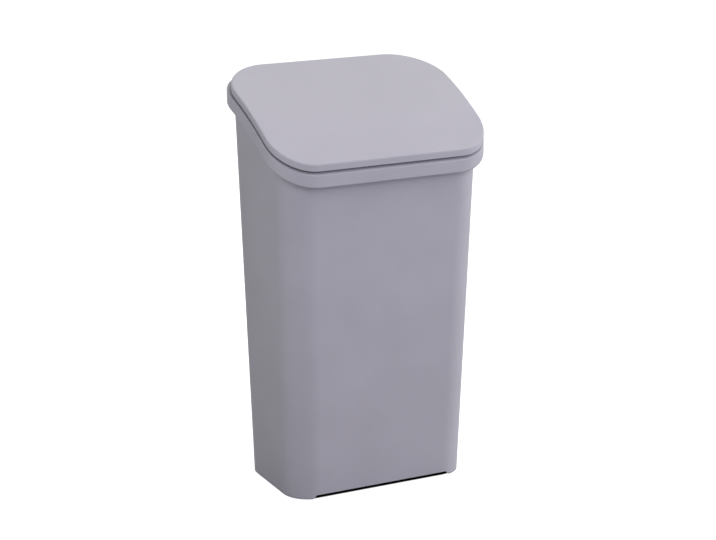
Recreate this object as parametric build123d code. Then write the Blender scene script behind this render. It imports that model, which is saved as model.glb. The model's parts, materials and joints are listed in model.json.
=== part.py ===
from build123d import *
import os
from math import atan, cos, degrees, radians, sin, tan

# A push top countertop bin. A drafted tub carries a lift-off collar. The collar carries a sloping lid on
# two pins at the back, two torsion springs that throw it open, and a latch at the front that holds it.
# Pushing the lid down lets go of the latch, and the next push catches it again.
#
# +X is to the right, +Y is to the back, where the hinge is, and +Z is up. The origin is on the surface
# that the bin stands on, under the middle of the tub. Sizes are in millimetres and angles in degrees.
# A drop is a vertical distance below the lid's top surface.

# Tub
BASE_WIDTH = 117.4
BASE_DEPTH = 72.5
BASE_CORNER = 16.8
TOP_CORNER = 18.6
DRAFT = 1.76
TUB_WALL = 2.0
FLOOR_UNDERSIDE = 4.0
FLOOR_THICKNESS = 2.2
FLOOR_FILLET = 6.0
FLANGE_THICKNESS = 2.0
FOOT_NOTCH_WIDTH = 93.0
FOOT_NOTCH_HEIGHT = 2.4
FOOT_NOTCH_REACH = 5.0

# Foot pads
PAD_RADIUS = 5.5
PAD_SOCKET_DEPTH = 1.4
PAD_PROUD = 0.4
PAD_CLEARANCE = 0.1
PAD_INSET = 14.5
PAD_BOSS_WALL = 1.8

# The lid's top surface: two slopes, joined by a wide arc
BACK_HEIGHT = 251.6
REAR_SLOPE = atan(0.335)
FRONT_SLOPE = atan(0.59)
KNEE_Y = -3.5
KNEE_RADIUS = 235.0

# Lid
LID_INSET = 0.3
LID_REAR_INSET = 1.7
LID_FRONT_CORNER = 24.0
LID_REAR_CORNER = 30.5
LID_EDGE = 3.8
LID_TOP_RADIUS = 1.0
LID_WALL = 2.2
LID_SKIRT_WALL = 2.0
LID_GAP = 2.2
LINER_DROP = 7.8
LINER_WALL = 1.6
LINER_CLEARANCE = 1.2
LINER_FIT = 0.1
LID_OPEN_ANGLE = 95.0
PRESS_ANGLE = 0.68

# Collar
COLLAR_OVERHANG = 4.4
COLLAR_CORNER = 25.0
BAND_HEIGHT = 8.1
BAND_WALL = 2.0
BAND_TOP_RADIUS = 0.7
BAND_FOOT_RADIUS = 0.8
WEB_THICKNESS = 2.0
SKIRT_DEPTH = 19.0
SKIRT_WALL = 1.6
SKIRT_CLEARANCE = 0.5
FLANGE_CLEARANCE = 0.4
SEAT_GAP = 0.2

# Hinge
BARREL_RADIUS = 2.0
PIN_RADIUS = 0.9
PIN_CLEARANCE = 0.05
BARREL_CLEARANCE = 0.3
HINGE_SINK = 0.15
HINGE_SPAN = 84.0
LUG_WIDTH = 4.0
LUG_FOOT = 3.6
KNUCKLE_WIDTH = 4.0
SIDE_PLAY = 0.2
BLIND_WALL = 1.0
PIN_END_GAP = 0.1

# Torsion springs
SPRING_WIRE = 0.6
SPRING_MEAN_RADIUS = 1.5
SPRING_PITCH = 0.68
SPRING_TURNS = 4
SPRING_BAY = 5.0
FIXED_LEG = 4.5
MOVING_LEG = 6.5
LEG_HOOK = 1.4
LEG_CLEARANCE = 0.15
LEG_POCKET_SKIN = 1.8

# Latch: the follower's tip is in the notch of the heart when the lid is shut
LATCH_INSET = 22.3654
WIRE_RADIUS = 0.6
WIRE_ARM = 11.0
WIRE_ARM_X = 3.0
WIRE_BEND = 1.0
TIP_FLOOR_GAP = 0.15
TIP_SHIFT = 0.95
BLADE_THICKNESS = 3.2
BLADE_WIDTH = 9.8
BLADE_FOOT = 8.0
BLADE_CHAMFER = 1.0
TRACK_DEPTH = 1.7
TRACK_WALL = 1.4
TRACK_CLEARANCE = 0.15
HEART_LENGTH = 6.3
BLADE_FLANGE_WIDTH = 24.0
BLADE_FLANGE_THICKNESS = 2.0
SLOT_CLEARANCE = 0.8
SHELF_TOP = 3.9
SHELF_THICKNESS = 3.0
SHELF_WIDTH = 34.0
GUSSET_DEPTH = 6.5
GUSSET_THICKNESS = 1.4
GUSSET_TIP = 13.0
LATCH_BASE_LEFT = 8.0
LATCH_BASE_WALL = 1.4
LATCH_BASE_FLOOR = 1.6
LATCH_BASE_CHAMFER = 2.0
PIVOT_DEPTH = 5.5
EAR_WIDTH = 7.0
EAR_THICKNESS = 2.0
CAP_SEAT = 0.6
CAP_THICKNESS = 2.0
CAP_FIT = 0.1
LEAF_THICKNESS = 0.2
LEAF_WIDTH = 3.0
LEAF_GAP = 0.05

# Screws
SCREW_RADIUS = 1.0
SCREW_FIT = 0.05
SCREW_HEAD_RADIUS = 2.1
SCREW_HEAD_HEIGHT = 1.3
SCREW_BITE = 0.6
SCREW_END_GAP = 0.2
SCREW_END_SKIN = 0.4
BOSS_RADIUS = 2.8
CATCH_SCREW_X = 8.5
LID_SCREW_X = 44.0
LID_SCREW_FRONT_Y = -30.5
LID_SCREW_REAR_Y = 26.0

# Buffers
BUFFER_RADIUS = 1.5
BUFFER_SOCKET_DEPTH = 1.2
BUFFER_X = 40.0
BUFFER_MARGIN = 1.9
BUFFER_CLEARANCE = 0.1

# Sizes that follow from those above
GROWTH = tan(radians(DRAFT))
COLLAR_WIDTH = BASE_WIDTH + 2 * (BACK_HEIGHT * GROWTH + COLLAR_OVERHANG)
COLLAR_DEPTH = BASE_DEPTH + 2 * (BACK_HEIGHT * GROWTH + COLLAR_OVERHANG)
KNEE_Z = BACK_HEIGHT - tan(REAR_SLOPE) * (COLLAR_DEPTH / 2 - KNEE_Y)
COLLAR_DROP = LID_EDGE + LID_GAP
RIM_DROP = COLLAR_DROP + WEB_THICKNESS + SEAT_GAP
SKIRT_INSET = TUB_WALL + SKIRT_CLEARANCE
MOUTH_INSET = SKIRT_INSET + SKIRT_WALL
FLANGE_INSET = BAND_WALL + FLANGE_CLEARANCE
LINER_INSET = MOUTH_INSET + LINER_CLEARANCE
TRAY_INSET = LINER_INSET + LINER_WALL
BLADE_FACE = BLADE_THICKNESS / 2
FLOOR_TOP = FLOOR_UNDERSIDE + FLOOR_THICKNESS


def lid_slope(y):
    """The slope of the lid's top surface at y, outside the arc."""
    return REAR_SLOPE if y > KNEE_Y else FRONT_SLOPE


def lid_height(y):
    """The height of the lid's top surface at y, outside the arc."""
    return KNEE_Z + tan(lid_slope(y)) * (y - KNEE_Y)


HINGE_Y = COLLAR_DEPTH / 2 - BARREL_RADIUS - PIN_CLEARANCE
HINGE_Z = lid_height(HINGE_Y) - LID_EDGE - HINGE_SINK

# The latch's own frame: x is across, y is along the lid's front slope and z is square to it. Its origin
# is the follower's tip, on the line through the hinge along that slope, so the blade moves along z.
LATCH_Y = LATCH_INSET - COLLAR_DEPTH / 2
LATCH_REACH = (HINGE_Y - LATCH_Y) / cos(FRONT_SLOPE)
LATCH = Plane(
    origin=(0, LATCH_Y, HINGE_Z - LATCH_REACH * sin(FRONT_SLOPE)),
    x_dir=(1, 0, 0),
    z_dir=(0, -sin(FRONT_SLOPE), cos(FRONT_SLOPE)),
)
LID_TOP_IN_LATCH = (KNEE_Z + tan(FRONT_SLOPE) * (HINGE_Y - KNEE_Y) - HINGE_Z) * cos(FRONT_SLOPE)
LINER_UNDERSIDE = LID_TOP_IN_LATCH - LINER_DROP * cos(FRONT_SLOPE)
LINER_TOP = LID_TOP_IN_LATCH - (LINER_DROP - LINER_WALL) * cos(FRONT_SLOPE)
PRESS_TRAVEL = LATCH_REACH * radians(PRESS_ANGLE)
SHELF_UNDERSIDE = SHELF_TOP - SHELF_THICKNESS
SHELF_REACH = LATCH_INSET / cos(FRONT_SLOPE)


# Forms

def tub_section(inset, height):
    """The tub's outline at a height, inset all round."""
    grown = 2 * (height * GROWTH - inset)
    corner = BASE_CORNER + (TOP_CORNER - BASE_CORNER) * height / BACK_HEIGHT - inset
    return Plane.XY.offset(height) * RectangleRounded(BASE_WIDTH + grown, BASE_DEPTH + grown, corner)


def tub_form(inset, low, high=BACK_HEIGHT):
    """The tub's drafted form, inset all round."""
    return loft([tub_section(inset, low), tub_section(inset, high)], ruled=True)


def collar_outline(inset):
    """The collar's outline, inset all round."""
    return RectangleRounded(COLLAR_WIDTH - 2 * inset, COLLAR_DEPTH - 2 * inset, COLLAR_CORNER - inset)


def lid_outline(inset):
    """The lid's outline, inset all round. Its back is further in and rounder, where it swings over."""
    width = COLLAR_WIDTH - 2 * (LID_INSET + inset)
    depth = COLLAR_DEPTH - LID_INSET - LID_REAR_INSET - 2 * inset
    outline = Pos(0, (LID_INSET - LID_REAR_INSET) / 2) * Rectangle(width, depth)
    outline = fillet(outline.vertices().group_by(Axis.Y)[-1], LID_REAR_CORNER - inset)
    return fillet(outline.vertices().group_by(Axis.Y)[0], LID_FRONT_CORNER - inset)


def tall(outline):
    """A tall upright block with an outline."""
    return extrude(Plane.XY.offset(PAD_PROUD) * outline, BACK_HEIGHT)


def collar_form(inset):
    """The collar's outline as a tall block, inset all round."""
    return tall(collar_outline(inset))


def lid_form(inset):
    """The lid's outline as a tall block, inset all round."""
    return tall(lid_outline(inset))


def under_lid(drop):
    """Everything under the lid's top surface, lowered by a drop."""
    reach = COLLAR_DEPTH
    outline = Polyline(
        (-reach, -drop),
        (-reach, lid_height(-reach) - drop),
        (KNEE_Y, KNEE_Z - drop),
        (reach, lid_height(reach) - drop),
        (reach, -drop),
        close=True,
    )
    face = make_face(outline)
    knee = face.vertices().sort_by_distance((KNEE_Y, KNEE_Z - drop))[0]
    return extrude(Plane.YZ * fillet(knee, KNEE_RADIUS), COLLAR_WIDTH, both=True)


def layer(top_drop, bottom_drop):
    """The layer between two drops."""
    return under_lid(top_drop) - under_lid(bottom_drop)


def rim_edges(solid, outline):
    """The edges that run round an outline, top and bottom, without its upright ones."""
    wire = outline.wire()

    def runs_round(edge):
        middle = edge @ 0.5
        return wire.distance_to(Vector(middle.X, middle.Y)) < 0.01 and abs((edge % 0.5).Z) < 0.9

    return solid.edges().filter_by(runs_round)


def cylinder_along_x(radius, start, end, y=0.0, z=0.0):
    """A cylinder along X between two places."""
    section = Plane.YZ.offset(start) * Pos(y, z) * Circle(radius)
    return extrude(section, end - start)


def hinge_cylinder(radius, start, end):
    """A cylinder on the hinge line."""
    return cylinder_along_x(radius, start, end, HINGE_Y, HINGE_Z)


def pin_bore():
    """The running fit for the right hinge pin, blind at its outer end."""
    return hinge_cylinder(PIN_RADIUS + PIN_CLEARANCE, *PIN_BORE)


def block(x, y, z):
    """A block between (low, high) pairs."""
    centre = Pos((x[0] + x[1]) / 2, (y[0] + y[1]) / 2, (z[0] + z[1]) / 2)
    return centre * Box(x[1] - x[0], y[1] - y[0], z[1] - z[0])


def post(radius, low, high, x=0.0, y=0.0):
    """An upright cylinder between two heights."""
    return extrude(Plane.XY.offset(low) * Pos(x, y) * Circle(radius), high - low)


def mirrored(part):
    """A part's twin on the other side."""
    return mirror(part, about=Plane.YZ)


def wire_form(path, radius):
    """A round wire along a path."""
    return sweep(Plane(origin=path @ 0, z_dir=path % 0) * Circle(radius), path=path)


def with_play(span):
    """A span along the hinge with its side play."""
    return span[0] - SIDE_PLAY, span[1] + SIDE_PLAY


def lid_drop(point):
    """A point's drop below the lid's top surface, outside the arc."""
    return lid_height(point.Y) - point.Z


def on_lid(x, y, drop=0.0):
    """A frame under the lid's top surface by a drop, with z square to that surface."""
    slope = lid_slope(y)
    origin = (x, y, lid_height(y) - drop)
    return Plane(origin=origin, x_dir=(1, 0, 0), z_dir=(0, -sin(slope), cos(slope)))


# Where things are along the hinge, on the right. The left is a mirror image.

LUG_OUTER = (HINGE_SPAN / 2 - LUG_WIDTH, HINGE_SPAN / 2)
KNUCKLE_OUTER = (LUG_OUTER[0] - SIDE_PLAY - KNUCKLE_WIDTH, LUG_OUTER[0] - SIDE_PLAY)
BAY = (KNUCKLE_OUTER[0] - SPRING_BAY, KNUCKLE_OUTER[0])
LUG_INNER = (BAY[0] - LUG_WIDTH, BAY[0])
KNUCKLE_INNER = (LUG_INNER[0] - SIDE_PLAY - KNUCKLE_WIDTH, LUG_INNER[0] - SIDE_PLAY)
TURNS = SPRING_TURNS + 0.5
SPRING_START = BAY[0] + (SPRING_BAY - SPRING_PITCH * TURNS) / 2
PAD_PLACES = {
    "front_left": (-1, -1),
    "front_right": (1, -1),
    "rear_left": (-1, 1),
    "rear_right": (1, 1),
}
PIN_BORE = (KNUCKLE_INNER[0] - SIDE_PLAY, LUG_OUTER[1] - BLIND_WALL + PIN_END_GAP)
LEG_GROOVE_RADIUS = SPRING_WIRE / 2 + LEG_CLEARANCE
HINGE = Plane(origin=(0, HINGE_Y, HINGE_Z), x_dir=(0, 1, 0), z_dir=(1, 0, 0))
EAR_SCREW_X = SHELF_WIDTH / 2 - 2 * SCREW_HEAD_RADIUS
CHAMBER_FACE = WIRE_ARM_X + 2 * WIRE_RADIUS
CAP_FACE = CHAMBER_FACE + CAP_THICKNESS
LEAF_FACE = CHAMBER_FACE - CAP_FIT / 2
LEAF_BOW = LEAF_FACE - LEAF_THICKNESS - LEAF_GAP - WIRE_ARM_X - WIRE_RADIUS
BUFFER_Y = LID_INSET + LID_SKIRT_WALL + BUFFER_MARGIN + BUFFER_RADIUS - COLLAR_DEPTH / 2
BUFFER_REACH = (HINGE_Y - BUFFER_Y) * cos(FRONT_SLOPE) + (
    HINGE_Z - lid_height(BUFFER_Y) + LID_WALL
) * sin(FRONT_SLOPE)
BUFFER_TRAVEL = BUFFER_REACH * radians(PRESS_ANGLE)
BUFFER_PROUD = (COLLAR_DROP - LID_WALL) * cos(FRONT_SLOPE) - BUFFER_TRAVEL - BUFFER_CLEARANCE
SCREW_PLACES = [
    (side * LID_SCREW_X, y) for side in (-1, 1) for y in (LID_SCREW_FRONT_Y, LID_SCREW_REAR_Y)
]


def pad_place(name):
    """A foot pad's place under the tub."""
    side, end = PAD_PLACES[name]
    return side * (BASE_WIDTH / 2 - PAD_INSET), end * (BASE_DEPTH / 2 - PAD_INSET)


# Tub

def foot_notch():
    """The shallow gap in the foot of the front and back walls."""
    half = FOOT_NOTCH_WIDTH / 2
    top = PAD_PROUD + FOOT_NOTCH_HEIGHT
    profile = make_face(
        Polyline(
            (-half, 0),
            (-half, PAD_PROUD),
            (-half + FOOT_NOTCH_HEIGHT, top),
            (half - FOOT_NOTCH_HEIGHT, top),
            (half, PAD_PROUD),
            (half, 0),
            close=True,
        )
    )
    through = extrude(Plane.XZ * profile, BASE_DEPTH, both=True)
    middle = BASE_DEPTH / 2 - FOOT_NOTCH_REACH
    return through - block((-BASE_WIDTH, BASE_WIDTH), (-middle, middle), (-top, 2 * top))


def make_bin_body():
    """The tub: an outward flange at its sloping rim, a raised floor, and pad bosses under the corners."""
    wall = tub_form(0, PAD_PROUD) & under_lid(RIM_DROP)
    flange = collar_form(FLANGE_INSET) & layer(RIM_DROP, RIM_DROP + FLANGE_THICKNESS)
    hollow = tub_form(TUB_WALL, FLOOR_TOP)
    hollow = fillet(hollow.edges().group_by(Axis.Z)[0], FLOOR_FILLET)
    body = wall + flange - hollow - tub_form(TUB_WALL, 0, FLOOR_UNDERSIDE) - foot_notch()
    for name in PAD_PLACES:
        x, y = pad_place(name)
        body += post(PAD_RADIUS + PAD_BOSS_WALL, PAD_PROUD, FLOOR_UNDERSIDE, x, y)
    for name in PAD_PLACES:
        x, y = pad_place(name)
        body -= post(PAD_RADIUS + PAD_CLEARANCE, 0, PAD_PROUD + PAD_SOCKET_DEPTH, x, y)
    return body


def make_foot_pad(name):
    """A round grip pad, pressed into its socket."""
    x, y = pad_place(name)
    pad = post(PAD_RADIUS, 0, PAD_PROUD + PAD_SOCKET_DEPTH, x, y)
    return fillet(pad.edges().group_by(Axis.Z)[0], PAD_PROUD / 2)


# Collar

def collar_lug(span):
    """A hinge lug that stands on the collar."""
    foot = block(
        span, (HINGE_Y - BARREL_RADIUS, COLLAR_DEPTH / 2), (HINGE_Z - LUG_FOOT, HINGE_Z)
    )
    return hinge_cylinder(BARREL_RADIUS, *span) + (foot & collar_form(0))


def latch_shelf():
    """The shelf inside the front of the collar that the latch is screwed under."""
    half = SHELF_WIDTH / 2
    depth = BLADE_WIDTH / 2 + SLOT_CLEARANCE + LATCH_BASE_WALL
    shelf = LATCH * block((-half, half), (-SHELF_REACH, depth), (SHELF_UNDERSIDE, SHELF_TOP))
    slot = LATCH * latch_slot(SHELF_UNDERSIDE, SHELF_TOP)
    gusset = shelf_gusset()
    shelf += [gusset, mirrored(gusset)]
    return (shelf & tub_form(SKIRT_INSET, FLOOR_TOP)) - slot


def shelf_gusset():
    """The web under the shelf on the right, between it and the collar's skirt."""
    profile = make_face(
        Polyline(
            (-SHELF_REACH, SHELF_UNDERSIDE),
            (-BLADE_FOOT, SHELF_UNDERSIDE),
            (-GUSSET_TIP, SHELF_UNDERSIDE - GUSSET_DEPTH),
            (-SHELF_REACH, SHELF_UNDERSIDE - GUSSET_DEPTH),
            close=True,
        )
    )
    start = Plane.YZ.offset(EAR_SCREW_X - GUSSET_THICKNESS / 2)
    return LATCH * extrude(start * profile, GUSSET_THICKNESS)


def latch_slot(low, high):
    """The space that the blade and the follower's arm need, in the latch's frame."""
    half = BLADE_WIDTH / 2 + SLOT_CLEARANCE
    return block(
        (-BLADE_FACE - SLOT_CLEARANCE, WIRE_ARM_X + 2 * WIRE_RADIUS), (-half, half), (low, high)
    )


def buffer_frame(side):
    """A buffer's frame, on the collar's top surface behind the lid's skirt."""
    return on_lid(side * BUFFER_X, BUFFER_Y, COLLAR_DROP)


def collar_edges(solid, above, drop):
    """The edges that run round the collar's outside, above or below a drop."""
    found = rim_edges(solid, collar_outline(0))
    return found.filter_by(lambda edge: (lid_drop(edge @ 0.5) < drop) == above)


def make_collar():
    """The rim ring: a band outside the tub, a web over its flange and a skirt inside it."""
    band = collar_form(0) & layer(COLLAR_DROP, COLLAR_DROP + BAND_HEIGHT)
    band = fillet(collar_edges(band, True, COLLAR_DROP + BAND_HEIGHT / 2), BAND_TOP_RADIUS)
    band = fillet(collar_edges(band, False, COLLAR_DROP + BAND_HEIGHT / 2), BAND_FOOT_RADIUS)
    skirt = tub_form(SKIRT_INSET, FLOOR_TOP) & layer(COLLAR_DROP, COLLAR_DROP + SKIRT_DEPTH)
    channel = collar_form(BAND_WALL) - tub_form(SKIRT_INSET, 0)
    channel = channel & under_lid(COLLAR_DROP + WEB_THICKNESS)
    collar = band + skirt - channel - tub_form(MOUTH_INSET, 0)
    collar += latch_shelf()
    for side in (-1, 1):
        collar -= LATCH * post(SCREW_RADIUS + SCREW_FIT, 0, SHELF_TOP - SCREW_END_SKIN, side * EAR_SCREW_X)
        collar -= buffer_frame(side) * post(BUFFER_RADIUS + BUFFER_CLEARANCE, -BUFFER_SOCKET_DEPTH, 1)
    right = collar_lug(LUG_OUTER) + collar_lug(LUG_INNER)
    collar += [right, mirrored(right)]
    cuts = [pin_bore(), wire_form(fixed_leg(), LEG_GROOVE_RADIUS)]
    for span in (KNUCKLE_OUTER, BAY, KNUCKLE_INNER):
        cuts.append(hinge_cylinder(BARREL_RADIUS + BARREL_CLEARANCE, *with_play(span)))
    for cut in cuts:
        collar -= [cut, mirrored(cut)]
    return collar


def make_lid_buffer(side):
    """A soft stop in a socket in the collar, which the lid lands on when it is pushed down."""
    return buffer_frame(side) * post(BUFFER_RADIUS, -BUFFER_SOCKET_DEPTH, BUFFER_PROUD)


# Hinge

def make_hinge_pin(side):
    """A steel rod through the collar's lugs and the lid's knuckles."""
    pin = hinge_cylinder(PIN_RADIUS, KNUCKLE_INNER[0], LUG_OUTER[1] - BLIND_WALL)
    pin = chamfer(pin.edges(), PIN_RADIUS / 4)
    return pin if side > 0 else mirrored(pin)


def spring_coil():
    """The helix of a torsion spring, in the hinge's frame, where z runs along the hinge."""
    return Pos(0, 0, SPRING_START) * Rot(0, 0, degrees(REAR_SLOPE) - 90) * Helix(
        SPRING_PITCH, SPRING_PITCH * TURNS, SPRING_MEAN_RADIUS
    )


def fixed_leg():
    """The leg that lies on the collar and hooks into it, from its end to the coil."""
    coil = spring_coil()
    start = coil @ 0
    corner = start - (coil % 0) * FIXED_LEG
    down = Vector(sin(REAR_SLOPE), -cos(REAR_SLOPE), 0)
    return HINGE * FilletPolyline(corner + down * LEG_HOOK, corner, start, radius=SPRING_WIRE)


def moving_leg():
    """The leg that pushes up on the lid."""
    coil = spring_coil()
    end = coil @ 1
    return HINGE * Line(end, end + (coil % 1) * MOVING_LEG)


def make_torsion_spring(side):
    """A torsion spring round the pin, with one leg on the collar and one under the lid."""
    path = Wire(fixed_leg().edges() + (HINGE * spring_coil()).edges() + moving_leg().edges())
    spring = wire_form(path, SPRING_WIRE / 2)
    return spring if side > 0 else mirrored(spring)


# Lid

def lid_knuckle(span):
    """A hinge knuckle under the lid's back edge."""
    root = block(
        span,
        (HINGE_Y - BARREL_RADIUS, COLLAR_DEPTH / 2),
        (HINGE_Z, HINGE_Z + 2 * BARREL_RADIUS),
    )
    return hinge_cylinder(BARREL_RADIUS, *span) + (root & lid_form(0) & under_lid(LID_WALL / 2))


def leg_pocket():
    """The pocket in the lid's underside for a spring's moving leg."""
    leg = moving_leg()
    x = sorted(((leg @ 0).X, (leg @ 1).X))
    side = SPRING_WIRE / 2 + LEG_CLEARANCE
    space = block(
        (x[0] - side, x[1] + side),
        ((leg @ 1).Y - side, COLLAR_DEPTH / 2),
        (HINGE_Z - BARREL_RADIUS, BACK_HEIGHT),
    )
    return space & under_lid(LEG_POCKET_SKIN)


def make_lid_shell():
    """The lid's outer shell, with its hinge knuckles and screw bosses."""
    shell = lid_form(0) & layer(0, LID_EDGE)
    rim = rim_edges(shell, lid_outline(0))
    shell = fillet(rim.filter_by(lambda edge: lid_drop(edge @ 0.5) < 0.7 * LID_EDGE), LID_TOP_RADIUS)
    shell -= lid_form(LID_SKIRT_WALL) & under_lid(LID_WALL)
    for x, y in SCREW_PLACES:
        square = cos(lid_slope(y))
        low = -(LINER_DROP - LINER_WALL) * square
        shell += on_lid(x, y) * post(BOSS_RADIUS, low, -LID_WALL * square / 2)
        shell -= on_lid(x, y) * post(SCREW_RADIUS + SCREW_FIT, low, -(LID_WALL - SCREW_BITE) * square)
    cuts = [leg_pocket()]
    for span in (LUG_OUTER, LUG_INNER, BAY):
        cuts.append(hinge_cylinder(BARREL_RADIUS + BARREL_CLEARANCE, *with_play(span)))
    for cut in cuts:
        shell -= [cut, mirrored(cut)]
    right = lid_knuckle(KNUCKLE_OUTER) + lid_knuckle(KNUCKLE_INNER)
    return shell + [right, mirrored(right)] - [pin_bore(), mirrored(pin_bore())]


def make_lid_liner():
    """The tray that closes the lid from below, with a slot for the catch blade."""
    tray = tub_form(LINER_INSET, FLOOR_TOP) & layer(LID_WALL, LINER_DROP)
    tray -= tub_form(TRAY_INSET, FLOOR_TOP) & under_lid(0) - under_lid(LINER_DROP - LINER_WALL)
    half = BLADE_FACE + LINER_FIT
    wide = BLADE_WIDTH / 2 + LINER_FIT
    tray -= LATCH * block((-half, half), (-wide, wide), (SHELF_TOP, LINER_TOP + LINER_WALL))
    for side in (-1, 1):
        tray -= catch_screw(side, SCREW_FIT)
    for x, y in SCREW_PLACES:
        tray -= on_lid(x, y) * post(SCREW_RADIUS + SCREW_FIT, -LINER_DROP, -LID_WALL)
    return tray


def make_lid_screws():
    """The pan-head screws that hold the liner to the shell."""
    screws = []
    for x, y in SCREW_PLACES:
        square = cos(lid_slope(y))
        tip = -(LID_WALL - SCREW_BITE) * square - SCREW_END_GAP
        screws.append(on_lid(x, y) * pan_screw(-LINER_DROP * square, tip))
    return Compound(children=screws)


def pan_screw(seat, tip, x=0.0):
    """A pan-head screw that points up, with its head below its seat."""
    head = post(SCREW_HEAD_RADIUS, seat - SCREW_HEAD_HEIGHT, seat, x)
    head = fillet(head.edges().group_by(Axis.Z)[0], SCREW_HEAD_HEIGHT / 2)
    return head + post(SCREW_RADIUS, seat, tip, x)


def catch_screw(side, fit=0.0):
    """A countersunk screw up through the liner into the blade's flange, or its hole."""
    x = side * CATCH_SCREW_X
    top = LINER_UNDERSIDE + SCREW_HEAD_RADIUS - SCREW_RADIUS
    head = LATCH * Pos(x, 0, (LINER_UNDERSIDE + top) / 2) * Cone(
        SCREW_HEAD_RADIUS + fit, SCREW_RADIUS + fit, top - LINER_UNDERSIDE
    )
    tip = LINER_TOP + BLADE_FLANGE_THICKNESS - SCREW_END_GAP
    return head + LATCH * post(SCREW_RADIUS + fit, LINER_UNDERSIDE, tip + 2 * fit, x)


# Latch

def track_outline():
    """The track's outer wall: a lane each side of the heart, and a cusp over it that sends the tip on."""
    half = BLADE_WIDTH / 2 - TRACK_WALL
    room = WIRE_RADIUS + TRACK_CLEARANCE
    top = PRESS_TRAVEL + room
    return Polyline(
        (-half, -BLADE_FOOT - 1),
        (-half, top - room),
        (-half + room, top),
        (-1.5 * room, top),
        (-0.6 * room, 1.7 * room),
        (TIP_SHIFT - room / 3, top),
        (TIP_SHIFT + 0.7 * room, top),
        (half, top - room),
        (half, -BLADE_FOOT - 1),
        close=True,
    )


def heart_outline():
    """The heart, without its notch: a high shoulder on the way in and a low one on the way out."""
    half = BLADE_WIDTH / 2 - TRACK_WALL
    room = WIRE_RADIUS + TRACK_CLEARANCE
    left = -half + 2 * room
    right = half - 2.4 * room
    return Polyline(
        (left, -0.8 * room),
        (left + room / 3, 0.6 * room),
        (1.04 * room, -0.16 * room),
        (right, -1.6 * room),
        (right, -HEART_LENGTH / 2),
        (room / 2, -HEART_LENGTH),
        (left, -HEART_LENGTH / 2),
        close=True,
    )


def make_catch_blade():
    """The blade under the lid, with the heart-cam track in one face and a flange that fits in the liner."""
    half = BLADE_WIDTH / 2
    plate = block((-BLADE_FACE, BLADE_FACE), (-half, half), (-BLADE_FOOT, LINER_TOP))
    foot = plate.edges().filter_by(Axis.X).group_by(Axis.Z)[0]
    plate = chamfer(foot, BLADE_CHAMFER)
    notch = Circle(WIRE_RADIUS + TRACK_CLEARANCE)
    track = make_face(track_outline()) - (make_face(heart_outline()) - notch)
    floor = Plane.YZ.offset(BLADE_FACE - TRACK_DEPTH)
    plate -= extrude(floor * track, TRACK_DEPTH + 1)
    width = BLADE_FLANGE_WIDTH / 2
    flange = LATCH * block(
        (-width, width), (-half, half), (LINER_TOP, LINER_TOP + BLADE_FLANGE_THICKNESS)
    )
    blade = LATCH * plate + (flange & tub_form(TRAY_INSET, FLOOR_TOP))
    for side in (-1, 1):
        blade -= catch_screw(side, SCREW_FIT)
    return blade


def wire_path():
    """The follower's path: the tip, the arm and the leg that it turns on."""
    tip = BLADE_FACE - TRACK_DEPTH + TIP_FLOOR_GAP
    return FilletPolyline(
        (tip, 0, 0),
        (WIRE_ARM_X, 0, 0),
        (WIRE_ARM_X, 0, -WIRE_ARM),
        (-PIVOT_DEPTH, 0, -WIRE_ARM),
        radius=WIRE_BEND,
    )


def make_latch_wire():
    """The follower: a staple of spring steel wire."""
    return LATCH * wire_form(wire_path(), WIRE_RADIUS)


def make_latch_base():
    """The block under the shelf that the blade goes into and the follower turns in."""
    half = BLADE_WIDTH / 2 + SLOT_CLEARANCE
    side = half + LATCH_BASE_WALL
    low = -WIRE_ARM - WIRE_RADIUS - TRACK_CLEARANCE
    floor = low - LATCH_BASE_FLOOR
    body = block((-LATCH_BASE_LEFT, CAP_FACE), (-side, side), (floor, SHELF_UNDERSIDE))
    foot = body.edges().filter_by(Axis.X).group_by(Axis.Z)[0]
    body = chamfer(foot, LATCH_BASE_CHAMFER)
    ear = SHELF_WIDTH / 2
    body += block(
        (-ear, ear), (-EAR_WIDTH / 2, EAR_WIDTH / 2), (SHELF_UNDERSIDE - EAR_THICKNESS, SHELF_UNDERSIDE)
    )
    body -= latch_slot(-BLADE_FOOT - PRESS_TRAVEL - 2 * TRACK_CLEARANCE, SHELF_UNDERSIDE + 1)
    arm = (WIRE_ARM_X - WIRE_RADIUS - TRACK_CLEARANCE, CHAMBER_FACE)
    swing = WIRE_RADIUS + TIP_SHIFT
    body -= block(arm, (-swing, swing), (low, 0))
    body -= cap_form(CAP_FIT)
    bore = WIRE_RADIUS + PIN_CLEARANCE
    body -= cylinder_along_x(bore, -PIVOT_DEPTH - PIN_END_GAP, CHAMBER_FACE, 0, -WIRE_ARM)
    for x in (-EAR_SCREW_X, EAR_SCREW_X):
        body -= post(SCREW_RADIUS + SCREW_FIT, -EAR_THICKNESS - 1, SHELF_UNDERSIDE + 1, x)
    return LATCH * body


def cap_form(fit):
    """The side plate that keeps the follower in, or its seat."""
    side = BLADE_WIDTH / 2 + SLOT_CLEARANCE + CAP_SEAT
    low = -WIRE_ARM - WIRE_RADIUS - TRACK_CLEARANCE
    high = SHELF_UNDERSIDE - EAR_THICKNESS - CAP_FIT
    return block((CHAMBER_FACE, CAP_FACE), (-side - fit, side + fit), (low - fit, high + fit))


def make_latch_cap():
    """The side plate, with its outer corners eased."""
    cap = cap_form(0)
    outer = cap.edges().filter_by(GeomType.LINE).group_by(Axis.X)[-1]
    return LATCH * chamfer(outer, CAP_THICKNESS / 5)


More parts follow.
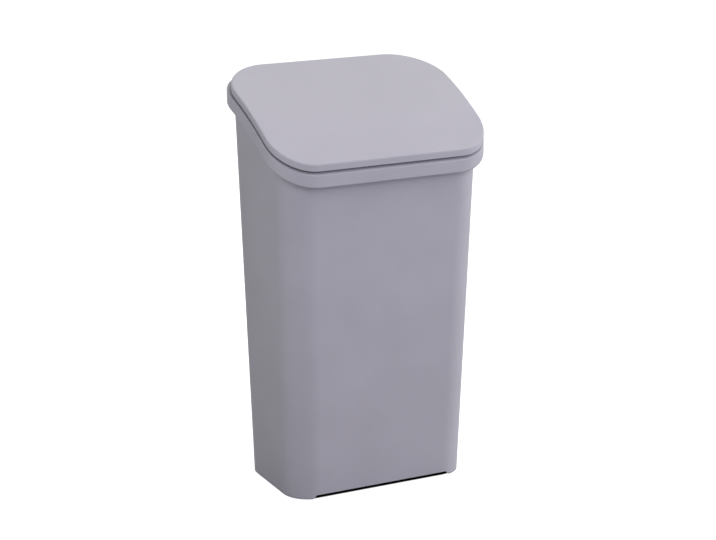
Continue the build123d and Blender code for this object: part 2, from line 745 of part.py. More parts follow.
def make_latch_leaf():
    """The bowed leaf spring between the cap and the follower's arm."""
    middle = -WIRE_ARM / 2
    reach = WIRE_ARM / 3
    back = ThreePointArc(
        (LEAF_FACE, middle - reach), (LEAF_FACE - LEAF_BOW, middle), (LEAF_FACE, middle + reach)
    )
    front = Pos(-LEAF_THICKNESS, 0) * back
    ends = [Line(back @ 0, front @ 0), Line(back @ 1, front @ 1)]
    profile = make_face([*back.edges(), *front.edges(), *[end.edge() for end in ends]])
    return LATCH * extrude(Plane.XZ * profile, LEAF_WIDTH / 2, both=True)


def make_latch_screws():
    """The pan-head screws up through the latch's ears into the shelf."""
    seat = SHELF_UNDERSIDE - EAR_THICKNESS
    tip = SHELF_TOP - SCREW_END_SKIN - SCREW_END_GAP
    screws = [LATCH * pan_screw(seat, tip, side * EAR_SCREW_X) for side in (-1, 1)]
    return Compound(children=screws)


def make_catch_screws():
    """The countersunk screws that hold the blade to the liner."""
    return Compound(children=[catch_screw(-1), catch_screw(1)])


def make_parts():
    """Every piece by its node's name."""
    parts = {"bin_body": make_bin_body()}
    for name in PAD_PLACES:
        parts[f"foot_pad_{name}"] = make_foot_pad(name)
    parts["collar"] = make_collar()
    for name, side in (("left", -1), ("right", 1)):
        parts[f"lid_buffer_{name}"] = make_lid_buffer(side)
        parts[f"hinge_pin_{name}"] = make_hinge_pin(side)
        parts[f"torsion_spring_{name}"] = make_torsion_spring(side)
    parts["lid_shell"] = make_lid_shell()
    parts["lid_liner"] = make_lid_liner()
    parts["lid_screws"] = make_lid_screws()
    parts["catch_blade"] = make_catch_blade()
    parts["catch_screws"] = make_catch_screws()
    parts["latch_base"] = make_latch_base()
    parts["latch_wire"] = make_latch_wire()
    parts["latch_cap"] = make_latch_cap()
    parts["latch_leaf"] = make_latch_leaf()
    parts["latch_screws"] = make_latch_screws()
    return parts


os.makedirs("parts", exist_ok=True)
for node, part in make_parts().items():
    export_step(part, f"parts/{node}.step")
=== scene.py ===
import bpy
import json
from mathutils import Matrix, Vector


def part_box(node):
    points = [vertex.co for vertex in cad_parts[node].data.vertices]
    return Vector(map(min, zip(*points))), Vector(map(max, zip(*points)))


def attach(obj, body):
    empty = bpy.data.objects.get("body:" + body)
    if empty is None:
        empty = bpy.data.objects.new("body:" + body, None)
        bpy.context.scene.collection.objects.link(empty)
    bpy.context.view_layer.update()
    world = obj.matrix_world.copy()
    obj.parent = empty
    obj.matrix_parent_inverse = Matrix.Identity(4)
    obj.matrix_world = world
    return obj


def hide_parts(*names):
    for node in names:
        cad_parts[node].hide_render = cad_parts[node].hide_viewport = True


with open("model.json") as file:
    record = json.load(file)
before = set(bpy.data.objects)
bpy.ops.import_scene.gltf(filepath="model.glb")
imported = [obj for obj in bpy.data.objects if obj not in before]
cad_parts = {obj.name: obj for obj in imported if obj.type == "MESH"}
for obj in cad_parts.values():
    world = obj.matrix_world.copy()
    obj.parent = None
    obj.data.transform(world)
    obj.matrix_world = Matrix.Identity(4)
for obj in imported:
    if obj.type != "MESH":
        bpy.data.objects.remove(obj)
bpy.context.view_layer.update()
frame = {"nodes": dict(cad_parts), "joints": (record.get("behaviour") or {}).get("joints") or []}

import json
import math

import bmesh
import bpy
from bpy.props import FloatProperty, FloatVectorProperty, IntProperty, PointerProperty
from mathutils import Vector

bl_info = {
    "name": "Push-Top Bin Finishes",
    "version": (1, 0, 0),
    "blender": (4, 5, 0),
    "location": "3D View > Sidebar > Bin",
    "description": "Finishes, lid springs and a studio for a push-top countertop bin",
    "category": "Object",
}

MILLIMETRE = 0.001
# Nearly all of a pattern lies between these
PATTERN_LOW = 0.3
PATTERN_HIGH = 0.7
# The share of free space round a place at which the painted shade is darkest, and the share at which there is
# none
DARKEST_SHADE_SPACE = 0.3
UNSHADED_SPACE = 0.8
# The width in millimetres of the camera's sensor, which the focal length is for
SENSOR_WIDTH = 36

# The studio's softboxes: name, degrees to the right of the bin's front, degrees up, metres away, metres wide
# and colour
SOFTBOXES = (
    ("front", -5, 24, 0.8, 0.4, "#F0EDFF"),
    ("right", 75, 28, 1.2, 1.1, "#FFFFFF"),
    ("left", -80, 32, 0.55, 0.35, "#FFFFFF"),
    ("back", 140, 55, 1.15, 0.7, "#FFFCF0"),
    ("rear", 180, 12, 1.2, 0.5, "#FFFFFF"),
)

SHELL_NODES = ("bin_body", "collar", "lid_shell")
LINER_NODES = ("lid_liner",)
LATCH_NODES = ("latch_base", "latch_cap", "catch_blade")
PLATED_NODES = ("hinge_pin_left", "hinge_pin_right", "lid_screws", "catch_screws", "latch_screws")
SPRING_NODES = ("latch_wire", "latch_leaf")
FOOT_NODES = ("foot_pad_front_left", "foot_pad_front_right", "foot_pad_rear_left", "foot_pad_rear_right")
BUFFER_NODES = ("lid_buffer_left", "lid_buffer_right")
TORSION_NODES = {-1: "torsion_spring_left", 1: "torsion_spring_right"}


def linear(hex_colour):
    """An sRGB hex colour as linear red, green and blue."""
    channels = [int(hex_colour[i:i + 2], 16) / 255 for i in (1, 3, 5)]
    return [c / 12.92 if c <= 0.04045 else ((c + 0.055) / 1.055) ** 2.4 for c in channels]


def hinge_joint():
    """The joint that the lid opens on."""
    return next(joint for joint in frame["joints"] if joint["name"] == "lid_open")


# Settings

def colour_property(name, description, hex_colour):
    """A colour that a user can change."""
    return FloatVectorProperty(
        name=name, description=description, subtype="COLOR", size=3, min=0, max=1, default=linear(hex_colour)
    )


def length_property(name, description, millimetres):
    """A length that a user can change, given in millimetres."""
    return FloatProperty(
        name=name,
        description=description,
        unit="LENGTH",
        subtype="DISTANCE",
        precision=5,
        min=0,
        default=millimetres * MILLIMETRE,
    )


def power_property(name, description, watts):
    """The power of a light, which a user can change."""
    return FloatProperty(name=name, description=description, unit="POWER", min=0, default=watts)


def share_property(name, description, share):
    """A share from 0 to 1 that a user can change."""
    return FloatProperty(name=name, description=description, subtype="FACTOR", min=0, max=1, default=share)


class PolypropyleneSettings(bpy.types.PropertyGroup):
    """The moulded plastic of the tub, the collar and the lid."""

    colour: colour_property("Colour", "Colour of the tub, the collar and the lid", "#B4B2BC")
    liner_colour: colour_property("Liner Colour", "Colour of the tray under the lid", "#ACAAB3")
    roughness: share_property("Roughness", "How matt the outside is", 0.64)
    liner_roughness: share_property("Liner Roughness", "How matt the tray under the lid is", 0.512)
    tone_size: length_property("Tone Size", "Size of the faint clouds in the colour", 38)
    tone: share_property("Tone", "How much the colour changes from cloud to cloud", 0.035)
    grain_size: length_property("Grain Size", "Width of the pits that the mould leaves", 0.9)
    grain_depth: length_property("Grain Depth", "Depth of the pits that the mould leaves", 0.02)
    # The painted shade in the gaps and the inner corners: how far it reaches, and how much darker it makes
    # them
    shade_reach: length_property("Dust Reach", "Width of the gaps that fine dust settles in", 3.5)
    painted_shade: share_property("Dust", "How much darker the dust makes the gaps", 0.35)


class AcetalSettings(bpy.types.PropertyGroup):
    """The hard plastic that the latch is moulded from."""

    colour: colour_property("Colour", "Colour of the latch", "#DEDCD4")
    roughness: share_property("Roughness", "How matt the latch is", 0.36)
    flow_size: length_property("Flow Size", "Width of the streaks where the melt flowed", 4)
    tone: share_property("Tone", "How much the streaks differ", 0.05)


class SteelSettings(bpy.types.PropertyGroup):
    """The steel of the pins, the screws and the springs."""

    plated_colour: colour_property("Zinc Colour", "Colour of the plated pins and screws", "#C3C6CA")
    plated_roughness: share_property("Zinc Roughness", "How matt the zinc is", 0.3)
    spangle_size: length_property("Spangle Size", "Size of the zinc's crystals", 0.5)
    wire_colour: colour_property("Wire Colour", "Colour of the drawn spring wire", "#A3A3A6")
    wire_roughness: share_property("Wire Roughness", "How matt the drawn wire is", 0.26)
    draw_size: length_property("Draw Line Size", "Width of the lines that the die leaves", 0.12)


class ElastomerSettings(bpy.types.PropertyGroup):
    """The soft moulding of the foot pads and the lid's buffers."""

    foot_colour: colour_property("Foot Colour", "Colour of the foot pads", "#6B6A70")
    buffer_colour: colour_property("Buffer Colour", "Colour of the lid's buffers", "#8E8C95")
    roughness: share_property("Roughness", "How matt the pads are", 0.82)
    grain_size: length_property("Grain Size", "Width of the pads' fine grain", 0.5)


class SpringSettings(bpy.types.PropertyGroup):
    """The sizes of the lid's torsion springs."""

    wire: length_property("Wire", "Diameter of the wire", 0.6)
    mean_radius: length_property("Mean Radius", "Radius of the coil to the wire's middle", 1.5)
    pitch: length_property("Pitch", "Distance from turn to turn", 0.68)
    turns: IntProperty(name="Turns", description="Whole turns of the coil", min=1, default=4)
    fixed_leg: length_property("Fixed Leg", "Length of the leg on the collar", 4.5)
    hook: length_property("Hook", "Length of the fixed leg's hooked end", 1.4)
    moving_leg: length_property("Moving Leg", "Length of the leg under the lid", 6.5)
    slope: FloatProperty(
        name="Collar Slope",
        description="Slope of the collar's top where the fixed leg lies",
        subtype="ANGLE",
        default=math.atan(0.335),
    )


class StageSettings(bpy.types.PropertyGroup):
    """The floor, the lights and the camera."""

    floor_colour: colour_property("Floor Colour", "Colour of the floor", "#AEAEAE")
    floor_glow: FloatProperty(name="Floor Glow", description="How much the floor glows", min=0, default=0.9)
    floor_reach: length_property("Floor Reach", "Distance from the bin to the floor's edge", 9000)
    patch_size: length_property("Patch Size", "Size of the faint patches in the floor's paint", 300)
    # The painted shadow on the floor under the bin
    shade_width: length_property("Shade Width", "Width of the dark floor under the bin", 112)
    shade_depth: length_property("Shade Depth", "Depth of the dark floor under the bin, front to back", 67)
    shade_corner: length_property("Shade Corner", "Radius of the dark floor's corners", 14)
    shade_fade: length_property("Shade Fade", "How far the dark floor takes to turn light", 1)
    front_power: power_property("Front Power", "Power of the softbox in front", 1.65)
    right_power: power_property("Right Power", "Power of the softbox to the right", 11.5)
    left_power: power_property("Left Power", "Power of the softbox to the left", 0.7)
    back_power: power_property("Back Power", "Power of the softbox behind, high up", 3.9)
    rear_power: power_property("Rear Power", "Power of the softbox behind, low down", 3.5)
    sky: FloatProperty(name="Sky", description="Strength of the light from all round", min=0, default=0.3)
    azimuth: FloatProperty(
        name="Camera Azimuth",
        description="How far the camera stands round to the bin's left",
        subtype="ANGLE",
        default=math.radians(26.79),
    )
    elevation: FloatProperty(
        name="Camera Elevation",
        description="How far the camera looks down",
        subtype="ANGLE",
        default=math.radians(15.51),
    )
    distance: length_property("Camera Distance", "Distance from the camera to what it looks at", 1231.4)
    aim_height: length_property("Aim Height", "Height that the camera looks at", 128.2)
    aim_side: length_property("Aim Side", "How far to the right the camera looks", 1.55)
    lens: FloatProperty(
        name="Lens", description="Focal length for a 36 mm frame", subtype="DISTANCE_CAMERA", default=101.85
    )


class BinSettings(bpy.types.PropertyGroup):
    """Everything that a user can change."""

    polypropylene: PointerProperty(type=PolypropyleneSettings)
    acetal: PointerProperty(type=AcetalSettings)
    steel: PointerProperty(type=SteelSettings)
    elastomer: PointerProperty(type=ElastomerSettings)
    springs: PointerProperty(type=SpringSettings)
    stage: PointerProperty(type=StageSettings)


# Materials

def add_node(tree, kind, sockets=None, **attributes):
    """Adds a node with its attributes, and sets its sockets to values or links them to other sockets."""
    node = tree.nodes.new(kind)
    for name, value in attributes.items():
        setattr(node, name, value)
    for name, value in (sockets or {}).items():
        if isinstance(value, bpy.types.NodeSocket):
            tree.links.new(value, node.inputs[name])
        else:
            node.inputs[name].default_value = value
    return node


def new_material(name):
    """An empty material, and its tree."""
    material = bpy.data.materials.new(name)
    material.use_nodes = True
    material.node_tree.nodes.clear()
    return material, material.node_tree


def swing(pattern, middle, change):
    """The range with which a pattern moves a value up and down from its middle."""
    return {
        "Value": pattern,
        "From Min": PATTERN_LOW,
        "From Max": PATTERN_HIGH,
        "To Min": middle - change,
        "To Max": middle + change,
    }


def toned(tree, colour, pattern, change):
    """A colour that a pattern makes a little lighter and darker."""
    lightness = add_node(tree, "ShaderNodeMapRange", swing(pattern, 1, change))
    tone = add_node(
        tree, "ShaderNodeHueSaturation", {"Color": (*colour, 1), "Value": lightness.outputs["Result"]}
    )
    return tone.outputs["Color"]


def noise(tree, size, detail=2.0, stretch=(1, 1, 1)):
    """Noise of a real size, in the piece's own space. A stretch below 1 draws it out along that axis."""
    place = add_node(tree, "ShaderNodeTexCoord").outputs["Object"]
    mapping = add_node(tree, "ShaderNodeMapping", {"Vector": place, "Scale": stretch})
    texture = add_node(
        tree,
        "ShaderNodeTexNoise",
        {"Vector": mapping.outputs["Vector"], "Scale": 1 / size, "Detail": detail},
    )
    return texture.outputs["Fac"]


def moulded_polypropylene(name, colour, settings, roughness):
    """Polypropylene, injection moulded against a spark-eroded steel.

    The spark pits scatter the light, so it looks soft and matt, with a faint cloudiness from the melt.
    The real pits are about 0.2 mm wide: they are drawn coarser, so that they show. Painted shade greys the
    gaps and the inner corners.
    """
    material, tree = new_material(name)
    clouds = noise(tree, settings.tone_size, detail=3)
    # Painted shade: the colour darkens where little free space lies round a place, in the gaps and the inner
    # corners
    room = add_node(tree, "ShaderNodeAmbientOcclusion", {"Distance": settings.shade_reach}, samples=8)
    space = {"Value": room.outputs["AO"], "From Min": DARKEST_SHADE_SPACE, "From Max": UNSHADED_SPACE}
    unshaded = add_node(tree, "ShaderNodeMapRange", {**space, "To Min": 1 - settings.painted_shade})
    shade_painted = add_node(
        tree,
        "ShaderNodeHueSaturation",
        {"Color": toned(tree, colour, clouds, settings.tone), "Value": unshaded.outputs["Result"]},
    )
    small_clouds = noise(tree, settings.tone_size / 2)
    sheen = add_node(tree, "ShaderNodeMapRange", swing(small_clouds, roughness, change=0.04))
    pits = noise(tree, settings.grain_size, detail=4)
    bump = add_node(
        tree, "ShaderNodeBump", {"Height": pits, "Strength": 0.5, "Distance": settings.grain_depth}
    )
    shader = add_node(
        tree,
        "ShaderNodeBsdfPrincipled",
        {
            "Base Color": shade_painted.outputs["Color"],
            "Roughness": sheen.outputs["Result"],
            "Normal": bump.outputs["Normal"],
            "IOR": 1.49,
            "Specular IOR Level": 0.32,
        },
    )
    add_node(tree, "ShaderNodeOutputMaterial", {"Surface": shader.outputs["BSDF"]})
    return material


def moulded_acetal(settings):
    """Acetal, injection moulded in a polished mould.

    It is denser and smoother than the shell's plastic, so it has a waxy gloss and faint flow streaks.
    """
    material, tree = new_material("acetal_moulded")
    streaks = noise(tree, settings.flow_size, detail=3, stretch=(1, 1, 0.25))
    gloss = add_node(tree, "ShaderNodeMapRange", swing(streaks, settings.roughness, change=0.05))
    shader = add_node(
        tree,
        "ShaderNodeBsdfPrincipled",
        {
            "Base Color": toned(tree, settings.colour, streaks, settings.tone),
            "Roughness": gloss.outputs["Result"],
            "IOR": 1.48,
            "Subsurface Weight": 0.08,
            "Subsurface Scale": 1.5 * MILLIMETRE,
        },
    )
    add_node(tree, "ShaderNodeOutputMaterial", {"Surface": shader.outputs["BSDF"]})
    return material


def zinc_plated_steel(settings):
    """Steel, turned or headed, then zinc plated.

    The plating gives a cool, slightly uneven shine, from crystals that each catch the light.
    """
    material, tree = new_material("steel_zinc_plated")
    place = add_node(tree, "ShaderNodeTexCoord").outputs["Object"]
    crystals = add_node(tree, "ShaderNodeTexVoronoi", {"Vector": place, "Scale": 1 / settings.spangle_size})
    spangle = crystals.outputs["Distance"]
    shine = add_node(tree, "ShaderNodeMapRange", swing(spangle, settings.plated_roughness, change=0.07))
    shader = add_node(
        tree,
        "ShaderNodeBsdfPrincipled",
        {
            "Base Color": toned(tree, settings.plated_colour, spangle, change=0.08),
            "Roughness": shine.outputs["Result"],
            "Metallic": 1,
        },
    )
    add_node(tree, "ShaderNodeOutputMaterial", {"Surface": shader.outputs["BSDF"]})
    return material


def drawn_spring_steel(settings):
    """Spring steel, drawn through a die.

    The die leaves fine lines along the wire, which break its highlight into streaks.
    """
    material, tree = new_material("spring_steel_drawn")
    lines = noise(tree, settings.draw_size, detail=3, stretch=(0.2, 1, 1))
    shine = add_node(tree, "ShaderNodeMapRange", swing(lines, settings.wire_roughness, change=0.08))
    bump = add_node(
        tree, "ShaderNodeBump", {"Height": lines, "Strength": 0.3, "Distance": 0.01 * MILLIMETRE}
    )
    shader = add_node(
        tree,
        "ShaderNodeBsdfPrincipled",
        {
            "Base Color": toned(tree, settings.wire_colour, lines, change=0.1),
            "Roughness": shine.outputs["Result"],
            "Normal": bump.outputs["Normal"],
            "Metallic": 1,
        },
    )
    add_node(tree, "ShaderNodeOutputMaterial", {"Surface": shader.outputs["BSDF"]})
    return material


def moulded_elastomer(name, colour, settings):
    """Thermoplastic elastomer, compression moulded.

    It is soft and grippy, so it hardly shines, and its fine grain holds a little dust.
    """
    material, tree = new_material(name)
    grain = noise(tree, settings.grain_size, detail=4)
    dullness = add_node(tree, "ShaderNodeMapRange", swing(grain, settings.roughness, change=0.06))
    bump = add_node(
        tree, "ShaderNodeBump", {"Height": grain, "Strength": 0.5, "Distance": 0.03 * MILLIMETRE}
    )
    shader = add_node(
        tree,
        "ShaderNodeBsdfPrincipled",
        {
            "Base Color": toned(tree, colour, grain, change=0.08),
            "Roughness": dullness.outputs["Result"],
            "Normal": bump.outputs["Normal"],
            "IOR": 1.5,
            "Sheen Weight": 0.15,
            "Sheen Roughness": 0.6,
        },
    )
    add_node(tree, "ShaderNodeOutputMaterial", {"Surface": shader.outputs["BSDF"]})
    return material


def beside_the_bin(tree, settings):
    """0 on the floor under the bin, where a shadow is painted, and 1 all round it.

    The dark floor is a rounded rectangle: all that is within its corner's radius of a smaller rectangle.
    """
    corner = settings.shade_corner
    inner = (settings.shade_width / 2 - corner, settings.shade_depth / 2 - corner, 0)
    offset = add_node(tree, "ShaderNodeTexCoord").outputs["Object"]
    for operation, other in (("ABSOLUTE", {}), ("SUBTRACT", {1: inner}), ("MAXIMUM", {1: (0, 0, 0)})):
        step = add_node(tree, "ShaderNodeVectorMath", {0: offset, **other}, operation=operation)
        offset = step.outputs["Vector"]
    away = add_node(tree, "ShaderNodeVectorMath", {0: offset}, operation="LENGTH").outputs["Value"]
    edge = {"Value": away, "From Min": corner, "From Max": corner + settings.shade_fade}
    return add_node(tree, "ShaderNodeMapRange", edge).outputs["Result"]


def painted_floor(settings):
    """Floor paint, rolled on smooth. It is even and matt, with the faintest patches from the roller.

    The floor glows in the picture only, so that it looks white and still lights the bin no more than pale
    grey paint would. Under the bin its paint and its glow are darkened: a painted shadow.
    """
    material, tree = new_material("floor_paint_rolled")
    outside_shadow = beside_the_bin(tree, settings)
    patched = toned(tree, settings.floor_colour, noise(tree, settings.patch_size), change=0.01)
    # Painted shadow: under the bin the paint is darkened and the glow is taken away
    paint = add_node(tree, "ShaderNodeHueSaturation", {"Color": patched, "Value": outside_shadow})
    seen = add_node(tree, "ShaderNodeLightPath").outputs["Is Camera Ray"]
    shown = add_node(tree, "ShaderNodeMath", {0: seen, 1: outside_shadow}, operation="MULTIPLY").outputs["Value"]
    glow = add_node(tree, "ShaderNodeMath", {0: shown, 1: settings.floor_glow}, operation="MULTIPLY")
    shader = add_node(
        tree,
        "ShaderNodeBsdfPrincipled",
        {
            "Base Color": paint.outputs["Color"],
            "Roughness": 0.9,
            "Specular IOR Level": 0.1,
            "Emission Color": (1, 1, 1, 1),
            "Emission Strength": glow.outputs["Value"],
        },
    )
    add_node(tree, "ShaderNodeOutputMaterial", {"Surface": shader.outputs["BSDF"]})
    return material


def dress(nodes, material):
    """Puts a material on CAD nodes."""
    for name in nodes:
        for slot in frame["nodes"][name].material_slots:
            slot.material = material


# Shapes

def new_piece(name, mesh, material):
    """An object with a mesh and its material."""
    piece = bpy.data.objects.new(name, mesh)
    bpy.context.scene.collection.objects.link(piece)
    mesh.materials.append(material)
    return piece


def wire_mesh(name, path, radius, sides=14):
    """A round wire along a path, with bevelled ends."""
    rings = []
    ends = [path[0], *path, path[-1]]
    tangents = [(after - before).normalized() for before, after in zip(ends, ends[2:])]
    across = tangents[0].orthogonal().normalized()
    for point, tangent in zip(path, tangents):
        across = (across - tangent * across.dot(tangent)).normalized()
        beside = tangent.cross(across)
        rings.append((point, across.copy(), beside, radius))
    first, last = rings[0], rings[-1]
    bevel = radius / 3
    rings.insert(0, (first[0] - tangents[0] * bevel, first[1], first[2], radius - bevel))
    rings.append((last[0] + tangents[-1] * bevel, last[1], last[2], radius - bevel))
    wire = bmesh.new()
    loops = []
    for point, across, beside, ring_radius in rings:
        angles = [2 * math.pi * side / sides for side in range(sides)]
        loops.append(
            [
                wire.verts.new(point + (across * math.cos(a) + beside * math.sin(a)) * ring_radius)
                for a in angles
            ]
        )
    for low, high in zip(loops, loops[1:]):
        for side in range(sides):
            after = (side + 1) % sides
            wire.faces.new((low[side], low[after], high[after], high[side])).smooth = True
    wire.faces.new(reversed(loops[0]))
    wire.faces.new(loops[-1])
    bmesh.ops.recalc_face_normals(wire, faces=wire.faces)
    mesh = bpy.data.meshes.new(name)
    wire.to_mesh(mesh)
    wire.free()
    return mesh


def rounded_corner(before, corner, after, radius, steps=6):
    """Points round a corner of a path."""
    incoming = (before - corner).normalized()
    outgoing = (after - corner).normalized()
    half_angle = incoming.angle(outgoing) / 2
    reach = radius / math.tan(half_angle)
    start, end = corner + incoming * reach, corner + outgoing * reach
    middle = corner + (incoming + outgoing).normalized() * radius / math.sin(half_angle)
    first, last = (start - middle).normalized(), (end - middle).normalized()
    return [middle + first.slerp(last, step / steps) * radius for step in range(steps + 1)]


class SpringShape:
    """The paths of one torsion spring, round the hinge line, on the right or the left."""

    STEPS_PER_TURN = 28
    # The moving leg starts inside the end of the coil, and its wire is a hair thinner
    OVERLAP = math.radians(100)
    LEG_SHARE = 0.99

    def __init__(self, settings, side):
        self.settings = settings
        self.side = side
        self.hinge = Vector(hinge_joint()["pos_m"])
        low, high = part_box(TORSION_NODES[side])
        self.inner = min(abs(low.x), abs(high.x)) + settings.wire / 2
        self.start = settings.slope - math.pi / 2
        self.end = self.start + 2 * math.pi * settings.turns + math.pi

    def on_coil(self, angle):
        """A point on the coil."""
        along = self.inner + self.settings.pitch * (angle - self.start) / (2 * math.pi)
        radius = self.settings.mean_radius
        return self.hinge + Vector((self.side * along, radius * math.cos(angle), radius * math.sin(angle)))

    def arc(self, first, last):
        """Points on the coil from one angle to another."""
        steps = math.ceil((last - first) / (2 * math.pi) * self.STEPS_PER_TURN)
        return [self.on_coil(first + (last - first) * step / steps) for step in range(steps + 1)]

    def fixed_path(self):
        """The hook, the leg on the collar and the whole coil."""
        coil = self.arc(self.start, self.end)
        back = Vector((0, math.cos(self.settings.slope), math.sin(self.settings.slope)))
        down = Vector((0, math.sin(self.settings.slope), -math.cos(self.settings.slope)))
        corner = coil[0] - back * self.settings.fixed_leg
        tip = corner + down * self.settings.hook
        return [tip, *rounded_corner(tip, corner, coil[0], self.settings.wire), *coil]

    def moving_path(self):
        """The end of the coil, which turns with the lid, and the leg under the lid."""
        bend = self.arc(self.end - self.OVERLAP, self.end)
        ahead = Vector((0, -math.sin(self.end), math.cos(self.end)))
        return [*bend, bend[-1] + ahead * self.settings.moving_leg]


# Stage

def aimed(name, data, target, azimuth, elevation, distance):
    """An object that looks at a target, from an azimuth to the right of the bin's front."""
    away = Vector(
        (
            math.sin(azimuth) * math.cos(elevation),
            -math.cos(azimuth) * math.cos(elevation),
            math.sin(elevation),
        )
    )
    holder = bpy.data.objects.new(name, data)
    bpy.context.scene.collection.objects.link(holder)
    holder.location = target + away * distance
    holder.rotation_mode = "QUATERNION"
    holder.rotation_quaternion = (-away).to_track_quat("-Z", "Y")
    return holder


# Operators

def bin_settings():
    """The bin's settings in this scene."""
    return bpy.context.scene.bin_settings


class BIN_OT_finish_shell(bpy.types.Operator):
    """Finish the tub, the collar and the lid's shell as matt moulded polypropylene"""

    bl_idname = "bin.finish_shell"
    bl_label = "Shell Finish"

    def execute(self, context):
        plastic = bin_settings().polypropylene
        matt = moulded_polypropylene("polypropylene_spark_matt", plastic.colour, plastic, plastic.roughness)
        dress(SHELL_NODES, matt)
        return {"FINISHED"}


class BIN_OT_finish_liner(bpy.types.Operator):
    """Finish the lid's liner as polypropylene from a smoother mould"""

    bl_idname = "bin.finish_liner"
    bl_label = "Liner Finish"

    def execute(self, context):
        plastic = bin_settings().polypropylene
        smooth = moulded_polypropylene(
            "polypropylene_smooth", plastic.liner_colour, plastic, plastic.liner_roughness
        )
        dress(LINER_NODES, smooth)
        return {"FINISHED"}


class BIN_OT_finish_latch(bpy.types.Operator):
    """Finish the latch's base, its cap and the catch blade as moulded acetal"""

    bl_idname = "bin.finish_latch"
    bl_label = "Latch Finish"

    def execute(self, context):
        dress(LATCH_NODES, moulded_acetal(bin_settings().acetal))
        return {"FINISHED"}


class BIN_OT_finish_hardware(bpy.types.Operator):
    """Finish the pins and the screws as zinc-plated steel"""

    bl_idname = "bin.finish_hardware"
    bl_label = "Hardware Finish"

    def execute(self, context):
        dress(PLATED_NODES, zinc_plated_steel(bin_settings().steel))
        return {"FINISHED"}


class BIN_OT_finish_pads(bpy.types.Operator):
    """Finish the foot pads and the lid's buffers as moulded elastomer"""

    bl_idname = "bin.finish_pads"
    bl_label = "Pad Finish"

    def execute(self, context):
        soft = bin_settings().elastomer
        dress(FOOT_NODES, moulded_elastomer("elastomer_foot", soft.foot_colour, soft))
        dress(BUFFER_NODES, moulded_elastomer("elastomer_buffer", soft.buffer_colour, soft))
        return {"FINISHED"}


class BIN_OT_make_springs(bpy.types.Operator):
    """Wind the lid's springs, with one leg that follows the lid, and finish all the springs as drawn steel"""

    bl_idname = "bin.make_springs"
    bl_label = "Lid Springs"

    def execute(self, context):
        steel = drawn_spring_steel(bin_settings().steel)
        dress(SPRING_NODES, steel)
        radius = bin_settings().springs.wire / 2
        for side, node in TORSION_NODES.items():
            shape = SpringShape(bin_settings().springs, side)
            coil = new_piece(f"{node}_coil", wire_mesh(f"{node}_coil", shape.fixed_path(), radius), steel)
            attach(coil, "collar")
            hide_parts(node)
            leg_wire = wire_mesh(f"{node}_leg", shape.moving_path(), radius * shape.LEG_SHARE)
            leg = new_piece(f"{node}_leg", leg_wire, steel)
            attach(leg, "lid")
        return {"FINISHED"}


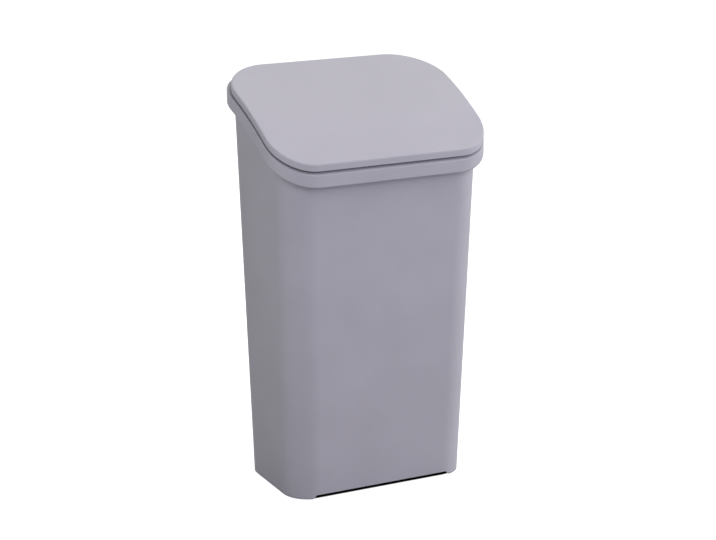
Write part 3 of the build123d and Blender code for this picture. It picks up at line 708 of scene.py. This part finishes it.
class BIN_OT_make_stage(bpy.types.Operator):
    """Lay the floor, hang the lights and set up the camera"""

    bl_idname = "bin.make_stage"
    bl_label = "Stage"

    def execute(self, context):
        stage = bin_settings().stage
        self.lay_floor(stage)
        self.hang_softboxes(stage)
        self.light_sky(context, stage)
        self.place_camera(context, stage)
        # The finishes' sRGB colours show as they are
        context.scene.view_settings.view_transform = "Standard"
        return {"FINISHED"}

    def lay_floor(self, stage):
        """A round floor that reaches past the horizon of every view."""
        floor = bmesh.new()
        bmesh.ops.create_circle(floor, cap_ends=True, radius=stage.floor_reach, segments=96)
        mesh = bpy.data.meshes.new("floor")
        floor.to_mesh(mesh)
        floor.free()
        new_piece("floor", mesh, painted_floor(stage))

    def hang_softboxes(self, stage):
        """Square softboxes that face the bin."""
        middle = Vector((0, 0, stage.aim_height))
        for name, azimuth, elevation, distance, size, colour in SOFTBOXES:
            lamp = bpy.data.lights.new(name, "AREA")
            lamp.energy = getattr(stage, f"{name}_power")
            lamp.size = size
            lamp.color = linear(colour)
            holder = aimed(name, lamp, middle, math.radians(azimuth), math.radians(elevation), distance)
            holder.visible_camera = False

    def light_sky(self, context, stage):
        """A sky that looks white and lights the bin only a little from all round."""
        world = bpy.data.worlds.new("studio_sky")
        world.use_nodes = True
        tree = world.node_tree
        tree.nodes.clear()
        seen = add_node(tree, "ShaderNodeLightPath").outputs["Is Camera Ray"]
        strength = add_node(
            tree, "ShaderNodeMapRange", {"Value": seen, "To Min": stage.sky, "To Max": 1.0}
        ).outputs["Result"]
        sky = add_node(tree, "ShaderNodeBackground", {"Color": (1, 1, 1, 1), "Strength": strength})
        add_node(tree, "ShaderNodeOutputWorld", {"Surface": sky.outputs["Background"]})
        context.scene.world = world

    def place_camera(self, context, stage):
        """The camera, in front of the bin, to its left and a little above it."""
        camera = bpy.data.cameras.new("camera")
        camera.lens = stage.lens
        camera.sensor_width = SENSOR_WIDTH
        target = Vector((stage.aim_side, 0, stage.aim_height))
        holder = aimed("camera", camera, target, -stage.azimuth, stage.elevation, stage.distance)
        context.scene.camera = holder


class BIN_PT_finishes(bpy.types.Panel):
    """The bin's finishes, springs and stage"""

    bl_idname = "BIN_PT_finishes"
    bl_label = "Push-Top Bin"
    bl_space_type = "VIEW_3D"
    bl_region_type = "UI"
    bl_category = "Bin"

    def draw(self, context):
        for operator, group in STEPS:
            box = self.layout.box()
            box.operator(operator.bl_idname)
            values = getattr(context.scene.bin_settings, group)
            for name in values.bl_rna.properties.keys():
                if name not in ("name", "rna_type"):
                    box.prop(values, name)


STEPS = (
    (BIN_OT_finish_shell, "polypropylene"),
    (BIN_OT_finish_liner, "polypropylene"),
    (BIN_OT_finish_latch, "acetal"),
    (BIN_OT_finish_hardware, "steel"),
    (BIN_OT_finish_pads, "elastomer"),
    (BIN_OT_make_springs, "springs"),
    (BIN_OT_make_stage, "stage"),
)
CLASSES = (
    PolypropyleneSettings,
    AcetalSettings,
    SteelSettings,
    ElastomerSettings,
    SpringSettings,
    StageSettings,
    BinSettings,
    *[operator for operator, group in STEPS],
    BIN_PT_finishes,
)


def register():
    for cls in CLASSES:
        bpy.utils.register_class(cls)
    bpy.types.Scene.bin_settings = PointerProperty(type=BinSettings)


def unregister():
    del bpy.types.Scene.bin_settings
    for cls in reversed(CLASSES):
        bpy.utils.unregister_class(cls)


def main():
    register()
    for operator, group in STEPS:
        module, name = operator.bl_idname.split(".")
        getattr(getattr(bpy.ops, module), name)()


if __name__ == "__main__":
    main()
